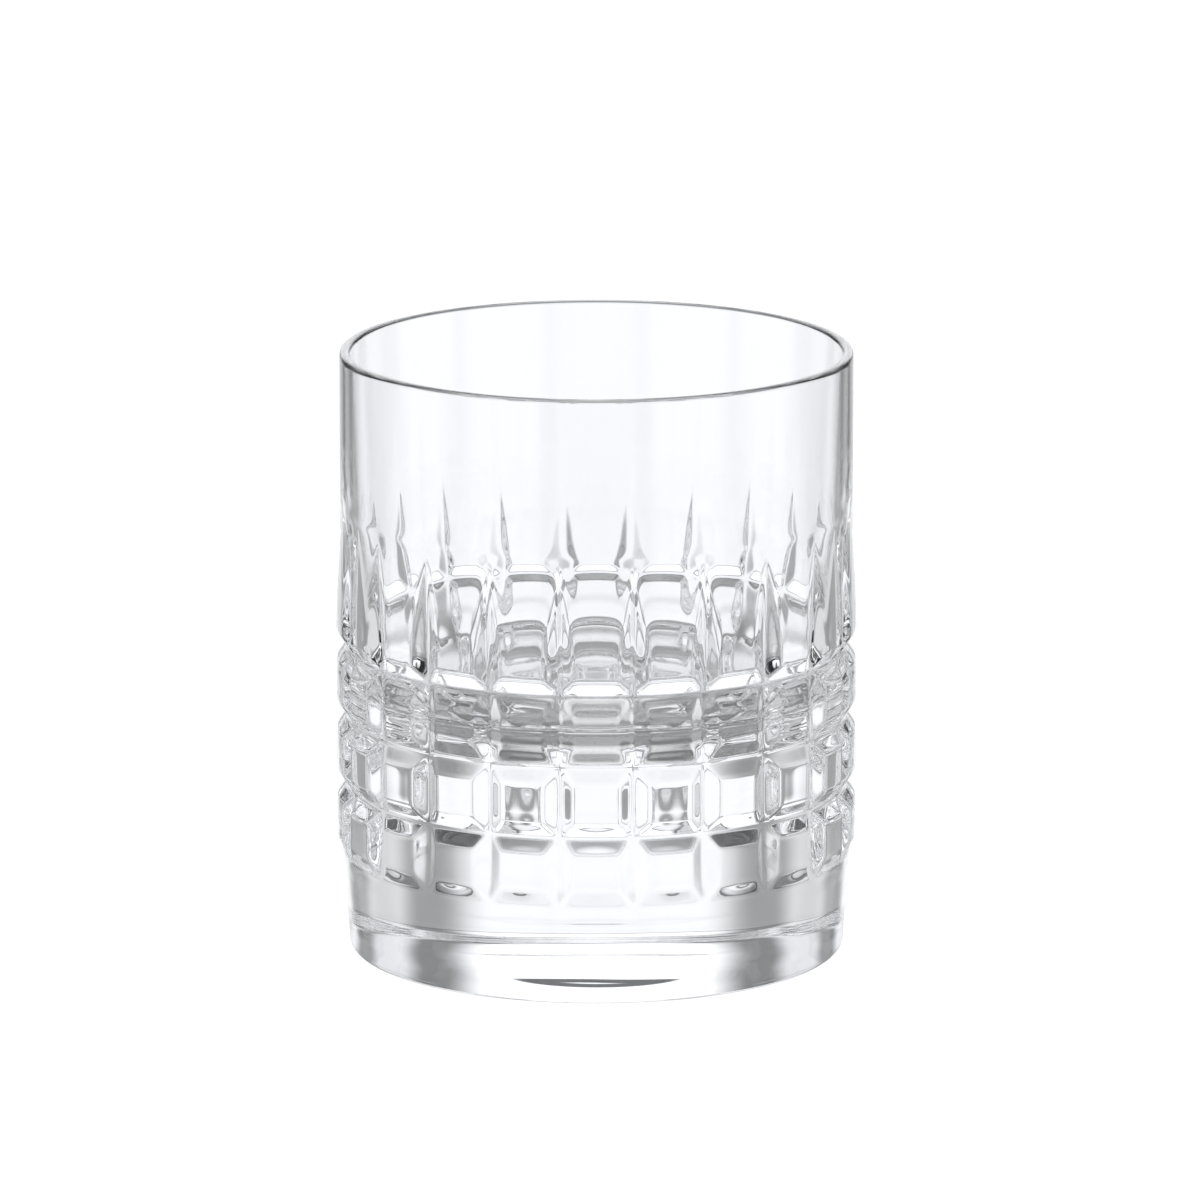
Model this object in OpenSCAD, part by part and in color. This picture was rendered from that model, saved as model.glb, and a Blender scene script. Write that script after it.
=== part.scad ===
// Whiskey tumbler, pressed from one gob of clear crystal glass.
// A heavy smooth base carries a band of hip-roofed studs in three rows. A
// fourth row swells out above them and runs up into tapering flutes, and the
// plain wall ends in a fire-polished rim.
// Millimetres, +Z up, origin at the middle of the underside. A column of studs
// faces -Y.

/* [Wall] */
// Outer diameter of the plain wall
wall_d = 86; // [80:0.5:92]
// Height from the underside to the top of the rim
height = 102.5; // [96:0.5:115]
// Thickness of the glass at the rim
rim_wall = 1.8; // [1.4:0.1:2.2]

/* [Base] */
// Diameter of the smooth base just under the band
base_top_d = 85.6; // [85:0.2:87]
// Diameter that the tapering side of the base has at its foot
base_foot_d = 83.2; // [81:0.2:84.6]
// Radius of the heel between the side and the underside
heel_r = 1.6; // [1:0.2:4]

/* [Bowl] */
// Thickness of the solid glass under the bowl
floor_h = 41; // [20:0.5:46]
// Inner diameter of the bowl just above its rounded corner
bowl_low_d = 79; // [74:0.5:80]
// Radius of the corner between the bowl's wall and its floor
bowl_corner_r = 12; // [4:0.5:16]

/* [Stud band] */
// Number of stud columns round the glass
columns = 22; // [18:2:26]
// Number of full rows of studs
rows = 3; // [2:1:3]
// Height at which the lowest row starts
band_z = 16.7; // [14:0.1:18]
// Height of one row, from valley to valley
row_pitch = 11.9; // [10.5:0.1:12.5]
// How far the studs stand proud of the plain wall
stud_proud = 0.9; // [0.5:0.1:1.3]
// Depth of the grooves below the tops of the studs
groove_depth = 1.9; // [1.4:0.1:2.2]
// Width of a level groove at the tops of the studs
level_groove_w = 5.6; // [4:0.2:6.4]
// Width of an upright groove at the tops of the studs
upright_groove_w = 5; // [3.6:0.2:6]
// Width of the flat bottom of every groove
valley_w = 0.5; // [0.3:0.1:0.8]

/* [Flutes] */
// Height of the widest part of the swelling row above its lowest valley
swell_rise = 6; // [5:0.2:7]
// Height of the top of the swell above the same valley
swell_end = 22; // [18:0.5:26]
// Height of the sharp tips of the flutes above the same valley
flute_end = 24; // [20:0.5:28]

/* [Hidden] */
$fn = 180;

wall_r = wall_d / 2;
base_top_r = base_top_d / 2;
base_foot_r = base_foot_d / 2;
stud_r = wall_r + stud_proud;
valley_r = stud_r - groove_depth;
bowl_rim_r = wall_r - rim_wall;
bowl_low_r = bowl_low_d / 2;
rim_r = rim_wall / 2;
column_pitch = 360 / columns;

// Height of the valley above the given number of rows
function valley_z(row) = band_z + row * row_pitch;
top_valley_z = valley_z(rows);
swell_z = top_valley_z + swell_rise;
swell_end_z = top_valley_z + swell_end;
flute_end_z = top_valley_z + flute_end;

// The lowest facets are longer than the others, because they land on the base
foot_facet_h = 3.2;
// Height over which an upright groove comes out at the bottom of the band
groove_foot_h = 4;
// How far an upright groove stays at full depth above the top valley
flute_start = 4;
// The swell's lower edge and the shoulder above it stay this far inside the
// widest part, and the shoulder is this high
swell_edge_drop = stud_proud / 4;
swell_shoulder_drop = stud_proud / 12;
swell_shoulder_h = 1;
// How far a cutter reaches out past its valley, clear of the studs
cutter_reach = 6;
// How far a flute's cutter carries on past the tip that it leaves
tip_overrun = 3;
arc_steps = 12;
swell_steps = 10;

// Points along an arc about [x, y], from angle a0 to angle a1
function arc(x, y, r, a0, a1, steps = arc_steps) = [
    for (i = [0:steps])
        let (a = a0 + (a1 - a0) * i / steps)
        [x + r * cos(a), y + r * sin(a)]
];

// Smooth step from 0 to 1 with level ends
function ease(t) = t * t * (3 - 2 * t);

// The side of the base leans out by this angle
base_lean = atan2(base_top_r - base_foot_r, band_z);

// Rounded heel, up to where it meets the tapering side
function heel() =
    let (centre_r = base_foot_r + heel_r * tan(base_lean) - heel_r / cos(base_lean))
    arc(centre_r, heel_r, heel_r, -90, -base_lean);

// One stud row in section: its lower facet, its flat top and its upper facet
function stud_row(row) = [
    [row == 0 ? base_top_r : valley_r, valley_z(row) + (row == 0 ? 0 : valley_w / 2)],
    [stud_r, valley_z(row) + (row == 0 ? foot_facet_h : level_groove_w / 2)],
    [stud_r, valley_z(row + 1) - level_groove_w / 2],
    [valley_r, valley_z(row + 1) - valley_w / 2]
];

// The swelling row in section, from the top valley to the plain wall
function swell() = concat(
    [
        [valley_r, top_valley_z + valley_w / 2],
        [stud_r - swell_edge_drop, top_valley_z + level_groove_w / 2],
        [stud_r - swell_shoulder_drop, top_valley_z + level_groove_w / 2 + swell_shoulder_h]
    ],
    [
        for (i = [0:swell_steps])
            let (t = i / swell_steps)
            [stud_r - stud_proud * ease(t), swell_z + (swell_end_z - swell_z) * t]
    ]
);

// Fire-polished rim, a half round from the outer wall to the inner wall
function rim() = arc(wall_r - rim_r, height - rim_r, rim_r, 0, 180);

// Rounded corner of the bowl, from its wall down to its floor
function bowl_corner() =
    arc(bowl_low_r - bowl_corner_r, floor_h + bowl_corner_r, bowl_corner_r, 0, -90);

// Half section of the glass before the upright grooves are cut
module section() {
    polygon(concat(
        [[0, 0]],
        heel(),
        [for (row = [0:rows - 1]) each stud_row(row)],
        swell(),
        rim(),
        bowl_corner(),
        [[0, floor_h]]
    ));
}

// V-shaped cutter whose valley runs from [r, z] point a up to point b
module groove_cutter(a, b) {
    flank = (upright_groove_w - valley_w) / 2 / groove_depth;
    lean = atan2(b[0] - a[0], b[1] - a[1]);
    translate([a[0], 0, a[1]])
        rotate([0, lean, 0])
            linear_extrude(norm(b - a))
                polygon([
                    [0, -valley_w / 2],
                    [cutter_reach, -valley_w / 2 - cutter_reach * flank],
                    [cutter_reach, valley_w / 2 + cutter_reach * flank],
                    [0, valley_w / 2]
                ]);
}

// One upright groove: it comes out at the foot, runs straight up through the
// band, and then rises to a sharp tip as a flute on the plain wall
module upright_groove() {
    foot = [base_top_r, band_z];
    low = [valley_r, band_z + groove_foot_h];
    high = [valley_r, top_valley_z + flute_start];
    tip = [wall_r, flute_end_z];
    run = (tip - high) / norm(tip - high);
    groove_cutter(foot, low);
    groove_cutter(low, high);
    groove_cutter(high, tip + run * tip_overrun);
}

// The whole glass
module tumbler() {
    color([0.93, 0.96, 0.97, 0.45])
        difference() {
            rotate_extrude()
                section();
            for (i = [0:columns - 1])
                rotate([0, 0, -90 + (i + 0.5) * column_pitch])
                    upright_groove();
        }
}

tumbler();
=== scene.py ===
"""Whiskey tumbler of clear pressed crystal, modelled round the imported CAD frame.

The glass is one piece. Its stud band is shaped first, from a cylinder that is cut into rows, inset stud by
stud and smoothed. The plain wall, the rim, the bowl, the base and the underside are then extruded from the
band's two edges. Lengths are in metres, +Z is up, and a column of studs faces -Y.
"""

import logging
import math
from dataclasses import dataclass, field
from enum import Enum
from typing import Any, Callable

import bmesh
import bpy
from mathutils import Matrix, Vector, noise

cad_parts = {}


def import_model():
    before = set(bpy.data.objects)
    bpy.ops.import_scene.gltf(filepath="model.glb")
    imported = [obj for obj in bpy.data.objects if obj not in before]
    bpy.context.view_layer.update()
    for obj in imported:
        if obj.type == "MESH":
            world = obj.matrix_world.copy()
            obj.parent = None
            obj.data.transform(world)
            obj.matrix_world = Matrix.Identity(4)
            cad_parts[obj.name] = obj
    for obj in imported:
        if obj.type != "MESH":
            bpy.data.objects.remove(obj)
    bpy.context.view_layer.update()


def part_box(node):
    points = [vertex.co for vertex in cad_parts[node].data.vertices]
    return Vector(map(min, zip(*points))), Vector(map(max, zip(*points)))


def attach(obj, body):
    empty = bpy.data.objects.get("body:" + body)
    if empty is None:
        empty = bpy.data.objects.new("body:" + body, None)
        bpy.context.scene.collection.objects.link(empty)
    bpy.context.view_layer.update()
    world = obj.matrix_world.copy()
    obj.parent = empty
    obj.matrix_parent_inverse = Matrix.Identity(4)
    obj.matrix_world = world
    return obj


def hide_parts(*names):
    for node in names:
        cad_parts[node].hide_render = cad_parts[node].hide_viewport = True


LOG = logging.getLogger("tumbler")
MM = 0.001
NODE = "tumbler"
BODY = "root"
CLOSE = 0.001 * MM
WHITE = (1.0, 1.0, 1.0, 1.0)
LIGHT_BOUNCES = 40
MIRROR_BOUNCES = 16
BRIGHTEST_BOUNCE = 4.0

Point = tuple[float, float]


# ---------------------------------------------------------------- shader nodes


@dataclass(frozen=True)
class Value:
    """A number socket that can be used in Python expressions.

    Attributes:
        sheet: The node tree that the socket is in.
        socket: The socket.
    """

    sheet: "Sheet"
    socket: bpy.types.NodeSocket

    def _math(self, operation: str, *operands: Any) -> "Value":
        """Add one Math node.

        Args:
            operation: The Math node's operation.
            operands: Its inputs in order, as Values or numbers.

        Returns:
            The node's result.
        """
        made = self.sheet.node("ShaderNodeMath", {"operation": operation}, dict(enumerate(operands)))
        return Value(self.sheet, made.outputs[0])

    def __add__(self, other: Any) -> "Value":
        """Return self + other."""
        return self._math("ADD", self, other)

    def __radd__(self, other: Any) -> "Value":
        """Return other + self."""
        return self._math("ADD", other, self)

    def __sub__(self, other: Any) -> "Value":
        """Return self - other."""
        return self._math("SUBTRACT", self, other)

    def __rsub__(self, other: Any) -> "Value":
        """Return other - self."""
        return self._math("SUBTRACT", other, self)

    def __mul__(self, other: Any) -> "Value":
        """Return self * other."""
        return self._math("MULTIPLY", self, other)

    def __rmul__(self, other: Any) -> "Value":
        """Return other * self."""
        return self._math("MULTIPLY", other, self)

    def absolute(self) -> "Value":
        """Return the size of self without its sign."""
        return self._math("ABSOLUTE", self)

    def arccosine(self) -> "Value":
        """Return the angle, in radians, whose cosine is self."""
        return self._math("ARCCOSINE", self)


class Sheet:
    """A node tree being filled in."""

    def __init__(self, tree: bpy.types.NodeTree) -> None:
        """Empty the tree.

        Args:
            tree: The node tree of a material or of the world.
        """
        self.tree = tree
        tree.nodes.clear()

    def node(
        self,
        kind: str,
        settings: dict[str, Any] | None = None,
        sockets: dict[Any, Any] | None = None,
    ) -> Any:
        """Add a node.

        Args:
            kind: The node's type name.
            settings: Properties to set first.
            sockets: Input name or number to a Value, a socket or a plain value.

        Returns:
            The new node.
        """
        made = self.tree.nodes.new(kind)
        for name, setting in (settings or {}).items():
            setattr(made, name, setting)
        for name, source in (sockets or {}).items():
            if isinstance(source, Value):
                source = source.socket
            if isinstance(source, bpy.types.NodeSocket):
                self.tree.links.new(source, made.inputs[name])
            else:
                made.inputs[name].default_value = source
        return made

    def value(self, made: Any, output: Any = 0) -> Value:
        """Wrap one output of a node for use in expressions."""
        return Value(self, made.outputs[output])

    def ease(self, value: Value, start: float, end: float) -> Value:
        """Return a smooth step of a value, 0 at start and 1 at end."""
        settings = {"interpolation_type": "SMOOTHSTEP"}
        rising = start < end
        low, high = (start, end) if rising else (end, start)
        sockets = {"Value": value, "From Min": low, "From Max": high}
        step = self.value(self.node("ShaderNodeMapRange", settings, sockets))
        return step if rising else 1 - step


# ------------------------------------------------------------------- finishes


@dataclass(frozen=True)
class CrystalGlass:
    """Clear crystal, fire polished after pressing.

    Attributes:
        name: The material's name.
        tint: Colour of the light that passes.
        ior: Refractive index of the crystal.
        polish: Roughness of the polished surface.
        smear: How much roughness the faint smears add.
        smear_scale: Smears per metre.
        smear_detail: How many finer patterns lie in each smear.
        smear_edge: How strong the finer patterns are.
    """

    name: str = "clear_crystal"
    tint: tuple[float, float, float, float] = (0.985, 0.99, 0.995, 1.0)
    ior: float = 1.52
    polish: float = 0.010
    smear: float = 0.016
    smear_scale: float = 60.0
    smear_detail: float = 3.0
    smear_edge: float = 0.55

    def make(self) -> bpy.types.Material:
        """Build the material.

        Returns:
            The glass material.
        """
        material = bpy.data.materials.new(self.name)
        material.use_nodes = True
        sheet = Sheet(material.node_tree)
        place = sheet.node("ShaderNodeTexCoord").outputs["Object"]
        smears = sheet.value(
            sheet.node(
                "ShaderNodeTexNoise",
                {"noise_dimensions": "3D"},
                {
                    "Vector": place,
                    "Scale": self.smear_scale,
                    "Detail": self.smear_detail,
                    "Roughness": self.smear_edge,
                },
            )
        )
        shader = sheet.node(
            "ShaderNodeBsdfPrincipled",
            None,
            {
                "Base Color": self.tint,
                "Roughness": self.polish + self.smear * smears,
                "IOR": self.ior,
                "Transmission Weight": 1.0,
            },
        )
        sheet.node("ShaderNodeOutputMaterial", None, {"Surface": shader.outputs[0]})
        return material


@dataclass(frozen=True)
class LitTable:
    """White acrylic sheet of a light table, which is the floor of the scene.

    Attributes:
        name: The material's name.
        glow: Brightness of the sheet.
        shade: Reflectance of the sheet.
        matt: Roughness of the sheet.
    """

    name: str = "lit_table"
    glow: float = 1.0
    shade: float = 0.1
    matt: float = 0.9

    def make(self) -> bpy.types.Material:
        """Build the material.

        Returns:
            The sheet's material.
        """
        material = bpy.data.materials.new(self.name)
        material.use_nodes = True
        sheet = Sheet(material.node_tree)
        shader = sheet.node(
            "ShaderNodeBsdfPrincipled",
            None,
            {
                "Base Color": (self.shade, self.shade, self.shade, 1.0),
                "Roughness": self.matt,
                "Specular IOR Level": 0.0,
                "Emission Color": WHITE,
                "Emission Strength": self.glow,
            },
        )
        sheet.node("ShaderNodeOutputMaterial", None, {"Surface": shader.outputs[0]})
        return material


# ------------------------------------------------------------- modelling tools


class Role(Enum):
    """What a vertex of the band's cage stands for."""

    FIELD = 0
    VALLEY = 1
    CREST = 2


def deselect_objects() -> None:
    """Leave nothing selected and nothing in edit mode."""
    if bpy.context.object and bpy.context.object.mode != "OBJECT":
        bpy.ops.object.mode_set(mode="OBJECT")
    bpy.ops.object.select_all(action="DESELECT")


def activate(piece: bpy.types.Object) -> None:
    """Select one object alone and make it the active one."""
    deselect_objects()
    piece.select_set(True)
    bpy.context.view_layer.objects.active = piece


def select_faces(piece: bpy.types.Object, wanted: Callable[[Vector], bool]) -> None:
    """Select faces in edit mode by the place of their middle.

    Args:
        piece: The object in edit mode.
        wanted: Says for a face's middle whether the face is selected.
    """
    bpy.ops.mesh.select_all(action="DESELECT")
    bpy.ops.mesh.select_mode(type="FACE")
    shape = bmesh.from_edit_mesh(piece.data)
    for face in shape.faces:
        if wanted(face.calc_center_median()):
            face.select_set(True)
    bmesh.update_edit_mesh(piece.data)


def select_loop(piece: bpy.types.Object, z: float, reach: float) -> None:
    """Select the open edge loop at a height, in edit mode.

    Args:
        piece: The object in edit mode.
        z: Height of the loop.
        reach: How far from that height a vertex may be.
    """
    bpy.ops.mesh.select_all(action="DESELECT")
    bpy.ops.mesh.select_mode(type="EDGE")
    shape = bmesh.from_edit_mesh(piece.data)
    for edge in shape.edges:
        if edge.is_boundary and all(abs(v.co.z - z) < reach for v in edge.verts):
            edge.select_set(True)
    bmesh.update_edit_mesh(piece.data)


def polar(co: Vector) -> tuple[float, float]:
    """Return the radius and the azimuth of a point, in metres and radians from -Y towards +X."""
    return math.hypot(co.x, co.y), math.atan2(co.x, -co.y)


def from_polar(radius: float, azimuth: float, z: float) -> Vector:
    """Return the point at a radius, an azimuth and a height."""
    return Vector((radius * math.sin(azimuth), -radius * math.cos(azimuth), z))


def arc(centre: Point, radius: float, start: float, end: float, steps: int) -> list[Point]:
    """Return points along an arc in section.

    Args:
        centre: The arc's centre, as radius and height.
        radius: The arc's radius.
        start: Angle of the first point in degrees, from outwards towards up.
        end: Angle of the last point.
        steps: Number of stretches.

    Returns:
        The points, as radius and height.
    """
    points = []
    for step in range(steps + 1):
        angle = math.radians(start + (end - start) * step / steps)
        points.append((centre[0] + radius * math.cos(angle), centre[1] + radius * math.sin(angle)))
    return points


def ramp(x: float, x0: float, x1: float, y0: float, y1: float) -> float:
    """Return the value at x of a line from y0 at x0 to y1 at x1, level past its ends."""
    share = min(1.0, max(0.0, (x - x0) / (x1 - x0)))
    return y0 + (y1 - y0) * share


# ------------------------------------------------------------------- the glass


@dataclass
class StudBand:
    """The moulded band: rows of studs, and above them a swelling row that runs up into flutes.

    Attributes:
        wall_r: Outer radius of the plain wall.
        base_r: Radius of the smooth base just under the band.
        columns: Number of stud columns.
        rows: Number of full rows of studs.
        low_z: Height of the band's lower edge.
        row_pitch: Height of a row.
        stud_proud: How far the studs stand proud of the plain wall.
        groove_depth: Depth of the grooves below the stud tops.
        level_half: Half width of a level groove.
        upright_half: Half width of an upright groove.
        foot_facet: Height of the long facets that land on the base.
        swell_rise: Height of the swell's widest part above the top valley.
        swell_end: Height of the swell's top above the top valley.
        flute_end: Height of the flutes' tips above the top valley.
        flute_start: How far the grooves keep their full depth above the top valley.
        tip_half: Half width of a flute just under its tip.
        tip_drop: How far under its tip a flute has that width.
        margin: Height of the plain strip on each side of the band.
        base_slope: How far the base widens for its height.
        swell_cuts: Heights of the rings in the swell, in swell rises above the top valley.
        pillow: How far the upright edges of the studs lie inside the stud tops.
        valley_crease: Crease of the groove bottoms.
        crest_crease: Crease of the stud edges.
        flute_crease: Share of the crease that is left at the flutes' tips.
        levels: Subdivision levels.
        tiny: Lengths under this count as nothing.
        aligned: Angles under this share of half a column count as nothing.
    """

    wall_r: float
    base_r: float
    columns: int = 22
    rows: int = 3
    low_z: float = 16.7 * MM
    row_pitch: float = 11.9 * MM
    stud_proud: float = 0.9 * MM
    groove_depth: float = 1.9 * MM
    level_half: float = 2.8 * MM
    upright_half: float = 2.5 * MM
    foot_facet: float = 3.2 * MM
    swell_rise: float = 6.0 * MM
    swell_end: float = 22.0 * MM
    flute_end: float = 24.0 * MM
    flute_start: float = 4.0 * MM
    tip_half: float = 0.12 * MM
    tip_drop: float = 1.0 * MM
    margin: float = 3.0 * MM
    base_slope: float = 0.07
    swell_cuts: tuple[float, ...] = (1.0, 2.0, 3.1)
    pillow: float = 0.15 * MM
    valley_crease: float = 0.5
    crest_crease: float = 0.45
    flute_crease: float = 0.35
    levels: int = 3
    tiny: float = 0.01 * MM
    aligned: float = 0.02

    @property
    def stud_r(self) -> float:
        """Return the radius of the stud tops."""
        return self.wall_r + self.stud_proud

    @property
    def valley_r(self) -> float:
        """Return the radius of the groove bottoms."""
        return self.stud_r - self.groove_depth

    @property
    def half_pitch(self) -> float:
        """Return the angle from the middle of a stud to the next groove."""
        return math.pi / self.columns

    @property
    def shrink(self) -> float:
        """Return how much smoothing shrinks a ring with two vertices to a column."""
        return (4.0 + 2.0 * math.cos(self.half_pitch)) / 6.0

    @property
    def top_valley_z(self) -> float:
        """Return the height of the valley above the last full row."""
        return self.low_z + self.rows * self.row_pitch

    @property
    def flute_end_z(self) -> float:
        """Return the height of the flutes' tips."""
        return self.top_valley_z + self.flute_end

    @property
    def bottom_z(self) -> float:
        """Return the height of the lower open edge."""
        return self.low_z - self.margin

    @property
    def bottom_r(self) -> float:
        """Return the radius of the lower open edge."""
        return self.base_r - self.margin * self.base_slope

    @property
    def top_z(self) -> float:
        """Return the height of the upper open edge."""
        return self.flute_end_z + self.margin

    def valley_heights(self) -> list[float]:
        """Return the heights of the level grooves, from the band's lower edge up."""
        return [self.low_z + row * self.row_pitch for row in range(self.rows + 1)]

    def cut_heights(self) -> list[float]:
        """Return the heights at which the cylinder is cut into rings."""
        foot = self.low_z + self.row_pitch / 2
        swell = [self.top_valley_z + self.swell_rise * rises for rises in self.swell_cuts]
        return [*self.valley_heights(), foot, *swell, self.flute_end_z]

    def crest_radius(self, z: float) -> float:
        """Return the radius of the studs, the swell and the plain wall at a height."""
        crown = self.top_valley_z + self.swell_rise
        if z <= crown:
            return self.stud_r
        share = min(1.0, (z - crown) / (self.swell_end - self.swell_rise))
        return self.stud_r - self.stud_proud * share * share * (3.0 - 2.0 * share)

    def groove_radius(self, z: float) -> float:
        """Return the radius of the bottom of an upright groove at a height."""
        start = self.top_valley_z + self.flute_start
        if z > start:
            return ramp(z, start, self.flute_end_z, self.valley_r, self.wall_r)
        return ramp(z, self.low_z, self.low_z + self.row_pitch / 2, self.base_r, self.valley_r)

    def groove_half(self, z: float) -> float:
        """Return the half width of an upright groove at a height in the swelling row."""
        crown = self.top_valley_z + self.swell_rise
        return ramp(z, crown, self.flute_end_z - self.tip_drop, self.upright_half, self.tip_half)

    def build(self) -> bpy.types.Object:
        """Model the band.

        Returns:
            An open tube whose two edges are true circles.
        """
        cage = self._add_rings()
        self._inset_cells(cage)
        self._place_vertices(cage)
        self._crease_edges(cage)
        self._smooth(cage)
        self._true_up_edges(cage)
        return cage

    def _add_rings(self) -> bpy.types.Object:
        """Add the cylinder and cut it at every height."""
        deselect_objects()
        bpy.ops.mesh.primitive_cylinder_add(
            vertices=2 * self.columns,
            radius=self.valley_r,
            depth=self.top_z - self.bottom_z,
            end_fill_type="NOTHING",
            location=(0.0, 0.0, (self.top_z + self.bottom_z) / 2),
        )
        cage = bpy.context.object
        bpy.ops.object.transform_apply(location=True, rotation=True, scale=True)
        bpy.ops.object.mode_set(mode="EDIT")
        for z in self.cut_heights():
            bpy.ops.mesh.select_all(action="SELECT")
            bpy.ops.mesh.bisect(plane_co=(0.0, 0.0, z), plane_no=(0.0, 0.0, 1.0))
        bpy.ops.object.mode_set(mode="OBJECT")
        return cage

    def _column_of(self, co: Vector) -> int:
        """Return the number of the column that a point is in."""
        return round(polar(co)[1] / (2 * self.half_pitch)) % self.columns

    def _inset_cells(self, cage: bpy.types.Object) -> None:
        """Raise every cell of the band by an inset, one column in two at a time."""
        heights = [*self.valley_heights(), self.flute_end_z]
        bpy.ops.object.mode_set(mode="EDIT")
        for low, high in zip(heights, heights[1:]):
            for parity in range(2):
                select_faces(
                    cage,
                    lambda co: low < co.z < high
                    and self._column_of(co) % 2 == parity
                    and polar(co)[0] < self.valley_r,
                )
                bpy.ops.mesh.inset(thickness=self.upright_half, depth=self.groove_depth, use_even_offset=True)
        bpy.ops.object.mode_set(mode="OBJECT")

    def _role(self, co: Vector) -> Role:
        """Return what a vertex of the untouched cage stands for."""
        radius, azimuth = polar(co)
        in_band = self.low_z - self.tiny < co.z < self.flute_end_z + self.tiny
        if radius < self.valley_r + self.tiny and in_band:
            return Role.VALLEY
        off_middle = abs(azimuth / self.half_pitch - round(azimuth / self.half_pitch))
        at_middle = off_middle < self.aligned
        raised = radius > self.valley_r + self.tiny
        at_cut = any(abs(co.z - z) < self.tiny for z in self.cut_heights())
        if raised and not (at_middle and at_cut):
            return Role.CREST
        return Role.FIELD

    def _place_vertices(self, cage: bpy.types.Object) -> None:
        """Put each vertex of the cage where the glass needs it, and remember its role."""
        roles = cage.data.attributes.new("role", "INT", "POINT")
        for vertex in cage.data.vertices:
            role = self._role(vertex.co)
            roles.data[vertex.index].value = role.value
            vertex.co = self._placed(vertex.co, role)

    def _placed(self, co: Vector, role: Role) -> Vector:
        """Return the final place of a cage vertex.

        Args:
            co: Where the insets left it.
            role: What it stands for.

        Returns:
            Its place in the glass.
        """
        radius, azimuth = polar(co)
        z = co.z
        step = round(azimuth / self.half_pitch)
        if z < self.low_z - self.tiny:
            return from_polar(self.bottom_r / self.shrink, azimuth, z)
        if z > self.flute_end_z - self.tiny:
            return from_polar(self.wall_r / self.shrink, azimuth, z)
        if role is Role.VALLEY:
            if step % 2:
                return from_polar(self.groove_radius(z), azimuth, z)
            return from_polar(self.base_r if z < self.low_z + self.tiny else self.valley_r, azimuth, z)
        z = self._crest_height(z)
        if role is Role.CREST and abs(azimuth / self.half_pitch - step) > self.aligned:
            groove = (2 * math.floor(azimuth / (2 * self.half_pitch)) + 1) * self.half_pitch
            half = self.groove_half(z) if z > self.top_valley_z else self.upright_half
            side = 1.0 if azimuth > groove else -1.0
            azimuth = groove + side * half / self.wall_r
            fade = ramp(z, self.top_valley_z + self.swell_rise, self.flute_end_z, 1.0, 0.0)
            return from_polar(self.crest_radius(z) - self.pillow * fade, azimuth, z)
        return from_polar(self.crest_radius(z), azimuth, z)

    def _crest_height(self, z: float) -> float:
        """Return the height that a raised vertex takes, from the height that its inset gave it."""
        near = self.upright_half + 4 * self.tiny
        if self.low_z < z < self.low_z + near:
            return self.low_z + self.foot_facet
        if self.flute_end_z - near < z:
            return self.flute_end_z - self.tip_drop
        for valley in self.valley_heights():
            if abs(z - valley) < near:
                return valley + math.copysign(self.level_half, z - valley)
        return z

    def _crease_edges(self, cage: bpy.types.Object) -> None:
        """Keep the valleys, the crests and the mitres crisp while the rest is smoothed."""
        mesh = cage.data
        crease = mesh.attributes.new("crease_edge", "FLOAT", "EDGE")
        roles = mesh.attributes["role"].data
        for edge in mesh.edges:
            a, b = (mesh.vertices[i].co for i in edge.vertices)
            kinds = {Role(roles[i].value) for i in edge.vertices}
            crease.data[edge.index].value = self._crease(a, b, kinds)

    def _crease(self, a: Vector, b: Vector, kinds: set[Role]) -> float:
        """Return the crease of one edge.

        Args:
            a: One end.
            b: The other end.
            kinds: The roles of the ends.

        Returns:
            The crease, from 0 to 1.
        """
        high = max(a.z, b.z)
        (_, az_a), (_, az_b) = polar(a), polar(b)
        turn = abs((az_a - az_b + math.pi) % (2 * math.pi) - math.pi)
        upright = turn < self.aligned * self.half_pitch
        level = abs(a.z - b.z) < self.tiny
        fade = ramp(high, self.top_valley_z + self.swell_rise, self.flute_end_z, 1.0, self.flute_crease)
        if high > self.flute_end_z - self.tip_drop + self.tiny:
            return 0.0
        if kinds == {Role.VALLEY}:
            return self.valley_crease * fade
        if kinds == {Role.CREST}:
            column = az_a / (2 * self.half_pitch)
            in_middle = upright and abs(column - round(column)) < self.aligned
            return 0.0 if in_middle else self.crest_crease * fade
        if kinds == {Role.VALLEY, Role.CREST} and not upright and not level:
            return self.crest_crease
        return 0.0

    def _smooth(self, cage: bpy.types.Object) -> None:
        """Subdivide the cage into the soft, fire-polished band."""
        activate(cage)
        smoothing = cage.modifiers.new("fire_polish", "SUBSURF")
        smoothing.levels = self.levels
        smoothing.render_levels = self.levels
        smoothing.boundary_smooth = "ALL"
        bpy.ops.object.modifier_apply(modifier=smoothing.name)

    def _true_up_edges(self, cage: bpy.types.Object) -> None:
        """Make the two open edges true circles with evenly spaced vertices."""
        count = 2 * self.columns * 2**self.levels
        step = 2 * math.pi / count
        for vertex in cage.data.vertices:
            _, azimuth = polar(vertex.co)
            even = round(azimuth / step) * step
            if vertex.co.z < self.bottom_z + self.tiny:
                vertex.co = from_polar(self.bottom_r, even, self.bottom_z)
            elif vertex.co.z > self.top_z - self.tiny:
                vertex.co = from_polar(self.wall_r, even, self.top_z)


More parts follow.
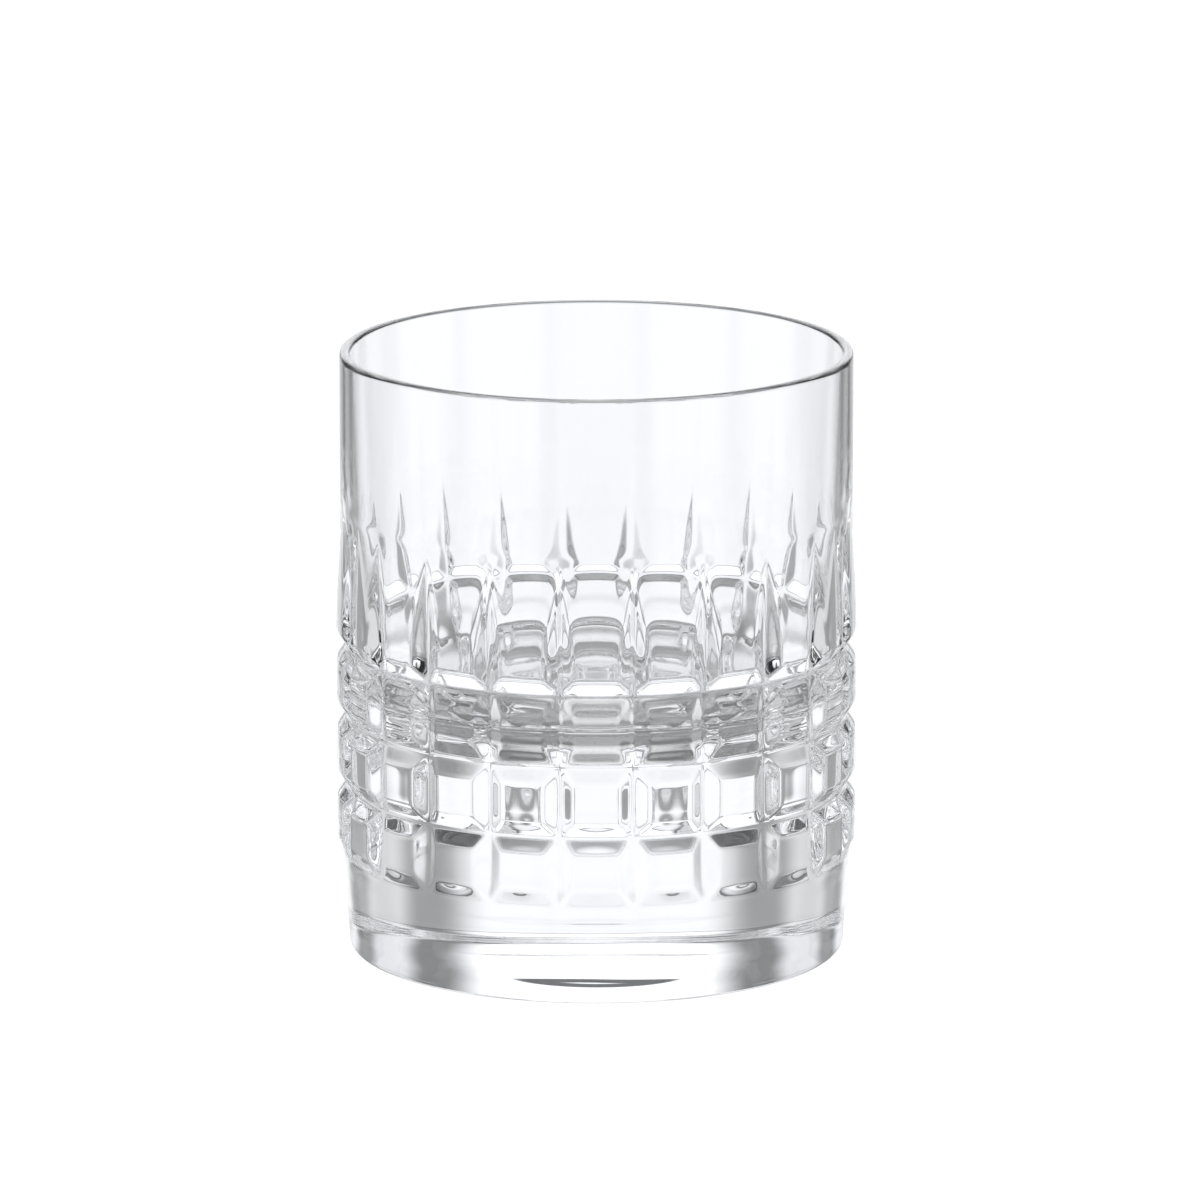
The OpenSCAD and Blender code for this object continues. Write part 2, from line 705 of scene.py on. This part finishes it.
@dataclass
class Tumbler:
    """The whole glass.

    Attributes:
        low: Lowest corner of the CAD node.
        high: Highest corner of the CAD node.
        finish: The glass's material.
        rim_wall: Thickness of the glass at the rim.
        base_top_r: Radius of the smooth base just under the band.
        base_foot_r: Radius that the tapering side of the base has at its foot.
        heel_r: Radius of the heel between the side and the underside.
        floor_h: Thickness of the solid glass under the bowl.
        bowl_low_r: Inner radius of the bowl just above its rounded corner.
        bowl_corner_r: Radius of the corner between the bowl's wall and its floor.
        stud_proud: How far the studs stand proud of the plain wall.
        rim_steps: Stretches in the arc of the rim.
        heel_steps: Stretches in the arc of the heel.
        corner_steps: Stretches in the arc of the bowl's corner.
        side_rings: Rings up the side of the base, for its waves.
        holds: Distances from both ends of a long stretch at which it gets close rings.
        hold_limit: Largest share of a stretch that such a distance may take.
        flat_shares: Rings on the flat underside, as shares of its width.
        dish_r: Radius of the shallow dish in the underside.
        dish_depth: Depth of the dish in the middle.
        dish_shares: Rings in the dish, as shares of its radius.
        ripple_height: Height of the faint waves on the side of the base.
        ripple_length: Length of the waves.
        ripple_flatness: How much shorter the waves are upwards than round the glass.
    """

    low: Vector
    high: Vector
    finish: CrystalGlass = field(default_factory=CrystalGlass)
    rim_wall: float = 1.8 * MM
    base_top_r: float = 42.8 * MM
    base_foot_r: float = 41.6 * MM
    heel_r: float = 1.6 * MM
    floor_h: float = 41.0 * MM
    bowl_low_r: float = 39.5 * MM
    bowl_corner_r: float = 12.0 * MM
    stud_proud: float = 0.9 * MM
    rim_steps: int = 10
    heel_steps: int = 10
    corner_steps: int = 12
    side_rings: int = 9
    holds: tuple[float, ...] = (0.2 * MM, 1.0 * MM)
    hold_limit: float = 0.4
    flat_shares: tuple[float, ...] = (0.1, 0.35, 0.65, 1.0)
    dish_r: float = 22.0 * MM
    dish_depth: float = 1.2 * MM
    dish_shares: tuple[float, ...] = (0.8, 0.6, 0.4, 0.2)
    ripple_height: float = 0.07 * MM
    ripple_length: float = 16.0 * MM
    ripple_flatness: float = 3.0

    def build(self) -> bpy.types.Object:
        """Model the glass and dress it.

        Returns:
            The finished piece.
        """
        wall_r = (self.high.y - self.low.y) / 2 - self.stud_proud
        band = StudBand(wall_r=round(wall_r, 4), base_r=self.base_top_r, stud_proud=self.stud_proud)
        glass = band.build()
        glass.name = "tumbler_glass"
        glass.data.name = "tumbler_glass"
        LOG.info("band: %d faces", len(glass.data.polygons))
        activate(glass)
        bpy.ops.object.mode_set(mode="EDIT")
        self._draw_out(glass, band.top_z, band.wall_r, self._upper_section(band))
        self._draw_out(glass, band.bottom_z, band.bottom_r, self._lower_section(band))
        bpy.ops.mesh.select_all(action="SELECT")
        bpy.ops.mesh.normals_make_consistent(inside=False)
        bpy.ops.object.mode_set(mode="OBJECT")
        self._ripple(glass, band.bottom_z)
        bpy.ops.object.shade_smooth()
        glass.data.attributes.remove(glass.data.attributes["role"])
        glass.data.materials.clear()
        glass.data.materials.append(self.finish.make())
        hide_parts(NODE)
        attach(glass, BODY)
        return glass

    def _upper_section(self, band: StudBand) -> list[Point]:
        """Return the section from the top of the band over the rim and down to the bowl's floor."""
        height = self.high.z
        rim_r = self.rim_wall / 2
        rim = arc((band.wall_r - rim_r, height - rim_r), rim_r, 0.0, 180.0, self.rim_steps)
        corner_centre = (self.bowl_low_r - self.bowl_corner_r, self.floor_h + self.bowl_corner_r)
        corner = arc(corner_centre, self.bowl_corner_r, 0.0, -90.0, self.corner_steps)
        outer = self._stretch((band.wall_r, band.top_z), rim[0])
        inner = self._stretch(rim[-1], corner[0])
        floor = self._stretch(corner[-1], (0.0, self.floor_h))
        return [*outer, *rim, *inner, *corner, *floor]

    def _lower_section(self, band: StudBand) -> list[Point]:
        """Return the section from the bottom of the band round the heel to the underside."""
        lean = math.degrees(math.atan2(self.base_top_r - self.base_foot_r, band.low_z))
        centre = (self.base_foot_r - self.heel_r, self.heel_r)
        heel = arc(centre, self.heel_r, -lean, -90.0, self.heel_steps)
        side = self._stretch((band.bottom_r, band.bottom_z), heel[0], self.side_rings)
        flat = [(centre[0] + (self.dish_r - centre[0]) * share, 0.0) for share in self.flat_shares]
        dish = [(self.dish_r * share, self.dish_depth * (1 - share * share)) for share in self.dish_shares]
        return [*side, *heel, *flat, *dish]

    def _ripple(self, glass: bpy.types.Object, top: float) -> None:
        """Give the base the faint waves that the chilled gob keeps.

        Args:
            glass: The glass in object mode.
            top: Height of the band's lower edge, up to which the waves fade out.
        """
        outwards = [vertex.normal.copy() for vertex in glass.data.vertices]
        for vertex, outward in zip(glass.data.vertices, outwards):
            x, y, z = vertex.co
            if not self.heel_r < z < top:
                continue
            wave = noise.noise(Vector((x, y, z * self.ripple_flatness)) / self.ripple_length)
            fade = ramp(z, self.heel_r, 3 * self.heel_r, 0.0, 1.0) * ramp(z, top / 2, top, 1.0, 0.0)
            vertex.co += outward * (self.ripple_height * wave * fade)

    def _stretch(self, start: Point, end: Point, rings: int = 1) -> list[Point]:
        """Return rings between two points in section, close together near both ends.

        The close rings keep the smooth shading of a long stretch from leaning towards the curve that it
        meets.

        Args:
            start: Radius and height where the stretch starts.
            end: Radius and height where it ends.
            rings: How many rings lie evenly between those.

        Returns:
            The rings between them.
        """
        length = math.dist(start, end)
        near = [hold / length for hold in self.holds if hold < self.hold_limit * length]
        even = [(ring + 1) / (rings + 1) for ring in range(rings)]
        shares = sorted([*near, *even, *(1 - share for share in near)])
        return [tuple(a + (b - a) * share for a, b in zip(start, end)) for share in shares]

    @staticmethod
    def _draw_out(glass: bpy.types.Object, z: float, radius: float, section: list[Point]) -> None:
        """Extrude an open edge along a section and close it in the middle.

        Args:
            glass: The object in edit mode.
            z: Height of the open edge.
            radius: Radius of the open edge.
            section: The radius and height of each new ring.
        """
        select_loop(glass, z, CLOSE)
        for next_r, next_z in section:
            bpy.ops.mesh.extrude_edges_move(TRANSFORM_OT_translate={"value": (0.0, 0.0, next_z - z)})
            scale = next_r / radius
            bpy.ops.transform.resize(value=(scale, scale, 1.0), center_override=(0.0, 0.0, next_z))
            radius, z = next_r, next_z
        bpy.ops.mesh.extrude_edges_move()
        bpy.ops.mesh.merge(type="CENTER")


# ------------------------------------------------------------------ the studio


@dataclass(frozen=True)
class Panel:
    """One pair of upright lit panels, the same distance round to the left and to the right.

    Attributes:
        azimuth: Degrees from straight behind the glass to the panel's middle.
        half: Degrees from its middle to where it starts to fade.
        soft: Degrees over which it fades.
        level: Its brightness.
    """

    azimuth: float
    half: float
    soft: float
    level: float


@dataclass(frozen=True)
class Surround:
    """Brightness of the studio by direction, as seen from the glass.

    The gaps between the panels are what draws the dark lines in clear glass.

    Attributes:
        panels: The lit panels round the glass.
        gap: Brightness between the panels.
        ceiling: Brightness above the panels.
        ceiling_from: Sine of the elevation at which the panels start to fade.
        ceiling_to: Sine of the elevation at which they end.
        overhead: Brightness of the soft light over the glass.
        overhead_from: Sine of the elevation at which that light starts.
        overhead_to: Sine of the elevation from which it has its full brightness.
        line: How dark the line where the table meets the panels is, from 0 to 1.
        line_half: Half height of that line, as a sine.
    """

    panels: tuple[Panel, ...] = (
        Panel(azimuth=0.0, half=17.0, soft=12.0, level=1.3),
        Panel(azimuth=47.0, half=5.0, soft=8.0, level=0.85),
        Panel(azimuth=90.0, half=13.0, soft=10.0, level=1.3),
        Panel(azimuth=135.0, half=15.0, soft=10.0, level=1.3),
        Panel(azimuth=180.0, half=15.0, soft=10.0, level=0.9),
    )
    gap: float = 0.2
    ceiling: float = 0.1
    ceiling_from: float = 0.5
    ceiling_to: float = 0.65
    overhead: float = 1.2
    overhead_from: float = 0.80
    overhead_to: float = 0.88
    line: float = 0.85
    line_half: float = 0.04

    def tone(self, sheet: Sheet, direction: Any) -> Value:
        """Return the brightness in a direction.

        Args:
            sheet: The node tree to add to.
            direction: A vector socket that points away from the glass.

        Returns:
            The brightness.
        """
        sideways = {0: direction, 1: (1.0, 1.0, 0.0)}
        flat = sheet.node("ShaderNodeVectorMath", {"operation": "MULTIPLY"}, sideways)
        level = sheet.node("ShaderNodeVectorMath", {"operation": "NORMALIZE"}, {0: flat.outputs[0]})
        behind = sheet.value(sheet.node("ShaderNodeSeparateXYZ", None, {0: level.outputs[0]}), "Y")
        unit = sheet.node("ShaderNodeVectorMath", {"operation": "NORMALIZE"}, {0: direction})
        up = sheet.value(sheet.node("ShaderNodeSeparateXYZ", None, {0: unit.outputs[0]}), "Z")
        azimuth = behind.arccosine()
        tone: Any = self.gap
        for panel in self.panels:
            off = (azimuth - math.radians(panel.azimuth)).absolute()
            edge = math.radians(panel.half + panel.soft)
            shown = sheet.ease(off, edge, math.radians(panel.half))
            tone = tone + (panel.level - self.gap) * shown
        for brightness, start, end in (
            (self.ceiling, self.ceiling_from, self.ceiling_to),
            (self.overhead, self.overhead_from, self.overhead_to),
        ):
            share = sheet.ease(up, start, end)
            tone = tone * (1 - share) + brightness * share
        line = sheet.ease(up.absolute(), self.line_half, 0.0)
        return tone * (1 - self.line * line)


@dataclass(frozen=True)
class Studio:
    """A white table under a dome of lit panels.

    The table is two sheets. The camera sees the upper one, which is plain white. The glass sees the lower
    one, which glows and mirrors the panels. Under the glass its glow is painted light and shade: a bright
    painted patch under the middle, a dark painted shadow ring round it, and less mirror there.

    Attributes:
        table_size: Side of both sheets.
        table: Material of the upper sheet.
        table_drop: How far the upper sheet lies under the glass.
        bounce_drop: How far the lower sheet lies under the glass.
        surround: Brightness of the dome by direction.
        painted_light_pool: Painted light on the lower sheet under the middle of the glass.
        ring: Its glow round that, kept low as a painted shadow ring under the glass's wall.
        outside: Its glow outside the foot of the glass.
        gloss: How much of the lower sheet mirrors outside the foot.
        gloss_under: How much of it mirrors under the glass.
        gloss_blur: Roughness of its mirror.
        gloss_shade: Reflectance of its mirror.
        ring_from: Distance from the middle at which the pool starts to fade.
        ring_full: Distance at which the pool ends.
        ring_out: Distance at which the outside starts.
        ring_to: Distance from which the outside is full.
        cool_white: Colour of the panels.
        dome_r: Radius of the dome.
        dome_segments: Segments round the dome.
        dome_rings: Rings up the dome.
    """

    table_size: float = 6.0
    table: LitTable = field(default_factory=LitTable)
    table_drop: float = 0.02 * MM
    bounce_drop: float = 0.04 * MM
    surround: Surround = field(default_factory=Surround)
    painted_light_pool: float = 0.9
    ring: float = 0.2
    outside: float = 0.6
    gloss: float = 0.7
    gloss_under: float = 0.2
    gloss_blur: float = 0.12
    gloss_shade: float = 0.95
    ring_from: float = 0.008
    ring_full: float = 0.018
    ring_out: float = 0.036
    ring_to: float = 0.055
    cool_white: tuple[float, float, float] = (0.965, 0.972, 1.0)
    dome_r: float = 20.0
    dome_segments: int = 64
    dome_rings: int = 32

    def build(self) -> None:
        """Add the table and the surround."""
        shown = self._add_sheet("light_table", -self.table_drop, self.table.make())
        shown.visible_diffuse = False
        shown.visible_glossy = False
        shown.visible_transmission = False
        unseen = self._add_sheet("bounce_table", -self.bounce_drop, self._bounce_material())
        unseen.visible_camera = False
        self._light_surround()

    def _add_sheet(self, name: str, z: float, material: bpy.types.Material) -> bpy.types.Object:
        """Add a flat sheet under the glass."""
        deselect_objects()
        bpy.ops.mesh.primitive_plane_add(size=self.table_size, location=(0.0, 0.0, z))
        sheet = bpy.context.object
        sheet.name = name
        bpy.ops.object.transform_apply(location=True, rotation=True, scale=True)
        sheet.data.materials.append(material)
        return sheet

    def _bounce_material(self) -> bpy.types.Material:
        """Build the sheet that lights the glass from below, with painted light and shade under the glass."""
        material = bpy.data.materials.new("bounce")
        material.use_nodes = True
        sheet = Sheet(material.node_tree)
        place = sheet.node("ShaderNodeTexCoord").outputs["Object"]
        reach = sheet.value(sheet.node("ShaderNodeVectorMath", {"operation": "LENGTH"}, {0: place}), "Value")
        # Painted light and shade: bright painted patch under the glass's middle, dark painted shadow ring
        # under its wall.
        outside = sheet.ease(reach, self.ring_out, self.ring_to)
        painted_light_pool = sheet.ease(reach, self.ring_full, self.ring_from)
        tone = self.painted_light_pool * painted_light_pool + self.ring * (1 - painted_light_pool) * (1 - outside) + self.outside * outside
        glow = sheet.node("ShaderNodeEmission", None, {"Color": tone, "Strength": 1.0})
        shade = (self.gloss_shade, self.gloss_shade, self.gloss_shade, 1.0)
        gloss = sheet.node("ShaderNodeBsdfGlossy", None, {"Roughness": self.gloss_blur, "Color": shade})
        weight = self.gloss * outside + self.gloss_under * (1 - outside)
        both = sheet.node("ShaderNodeMixShader", None, {0: weight, 1: glow.outputs[0], 2: gloss.outputs[0]})
        sheet.node("ShaderNodeOutputMaterial", None, {"Surface": both.outputs[0]})
        return material

    def _light_surround(self) -> None:
        """Hang the lit dome round the table, and leave the world plain white for the camera."""
        world = bpy.data.worlds.new("surround")
        bpy.context.scene.world = world
        world.use_nodes = True
        sheet = Sheet(world.node_tree)
        glow = sheet.node("ShaderNodeBackground", None, {"Color": WHITE, "Strength": 1.0})
        sheet.node("ShaderNodeOutputWorld", None, {"Surface": glow.outputs[0]})
        deselect_objects()
        bpy.ops.mesh.primitive_uv_sphere_add(
            segments=self.dome_segments,
            ring_count=self.dome_rings,
            radius=self.dome_r,
        )
        dome = bpy.context.object
        dome.name = "dome"
        material = bpy.data.materials.new("dome")
        material.use_nodes = True
        sheet = Sheet(material.node_tree)
        tone = self.surround.tone(sheet, sheet.node("ShaderNodeTexCoord").outputs["Object"])
        scaled = {0: self.cool_white, "Scale": tone}
        light = sheet.node("ShaderNodeVectorMath", {"operation": "SCALE"}, scaled)
        glow = sheet.node("ShaderNodeEmission", None, {"Color": light.outputs[0], "Strength": 1.0})
        sheet.node("ShaderNodeOutputMaterial", None, {"Surface": glow.outputs[0]})
        dome.data.materials.append(material)
        dome.visible_camera = False


@dataclass(frozen=True)
class LongLens:
    """The camera: a long lens a little above the glass.

    Attributes:
        aim: The point that it looks at.
        distance: How far it stands from that point.
        elevation: Degrees above the horizon.
        focal: Focal length in millimetres.
        sensor: Width of the sensor in millimetres.
        nearest: Nearest distance that it sees.
        farthest: Farthest distance that it sees.
    """

    aim: tuple[float, float, float] = (0.0006, 0.0, 0.0594)
    distance: float = 1.878
    elevation: float = 12.7
    focal: float = 335.4
    sensor: float = 36.0
    nearest: float = 0.05
    farthest: float = 20.0

    def build(self) -> None:
        """Add the camera and make it the scene's."""
        data = bpy.data.cameras.new("long_lens")
        data.lens = self.focal
        data.sensor_width = self.sensor
        data.clip_start = self.nearest
        data.clip_end = self.farthest
        camera = bpy.data.objects.new("long_lens", data)
        bpy.context.scene.collection.objects.link(camera)
        rise = math.radians(self.elevation)
        camera.location = Vector(self.aim) + self.distance * Vector((0.0, -math.cos(rise), math.sin(rise)))
        camera.rotation_euler = (math.pi / 2 - rise, 0.0, 0.0)
        bpy.context.scene.camera = camera


def set_tone() -> None:
    """Let white stay white, and let light pass through many glass walls."""
    scene = bpy.context.scene
    scene.view_settings.view_transform = "Standard"
    scene.cycles.max_bounces = LIGHT_BOUNCES
    scene.cycles.transmission_bounces = LIGHT_BOUNCES
    scene.cycles.glossy_bounces = MIRROR_BOUNCES
    scene.cycles.sample_clamp_indirect = BRIGHTEST_BOUNCE
    scene.cycles.denoising_input_passes = "RGB"


def main() -> None:
    """Build the scene round the frame."""
    logging.basicConfig(level=logging.INFO, format="%(name)s: %(message)s")
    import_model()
    low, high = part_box(NODE)
    LongLens().build()
    Studio().build()
    set_tone()
    glass = Tumbler(Vector(low), Vector(high)).build()
    LOG.info("%s: %d faces", glass.name, len(glass.data.polygons))


if __name__ == "__main__":
    main()
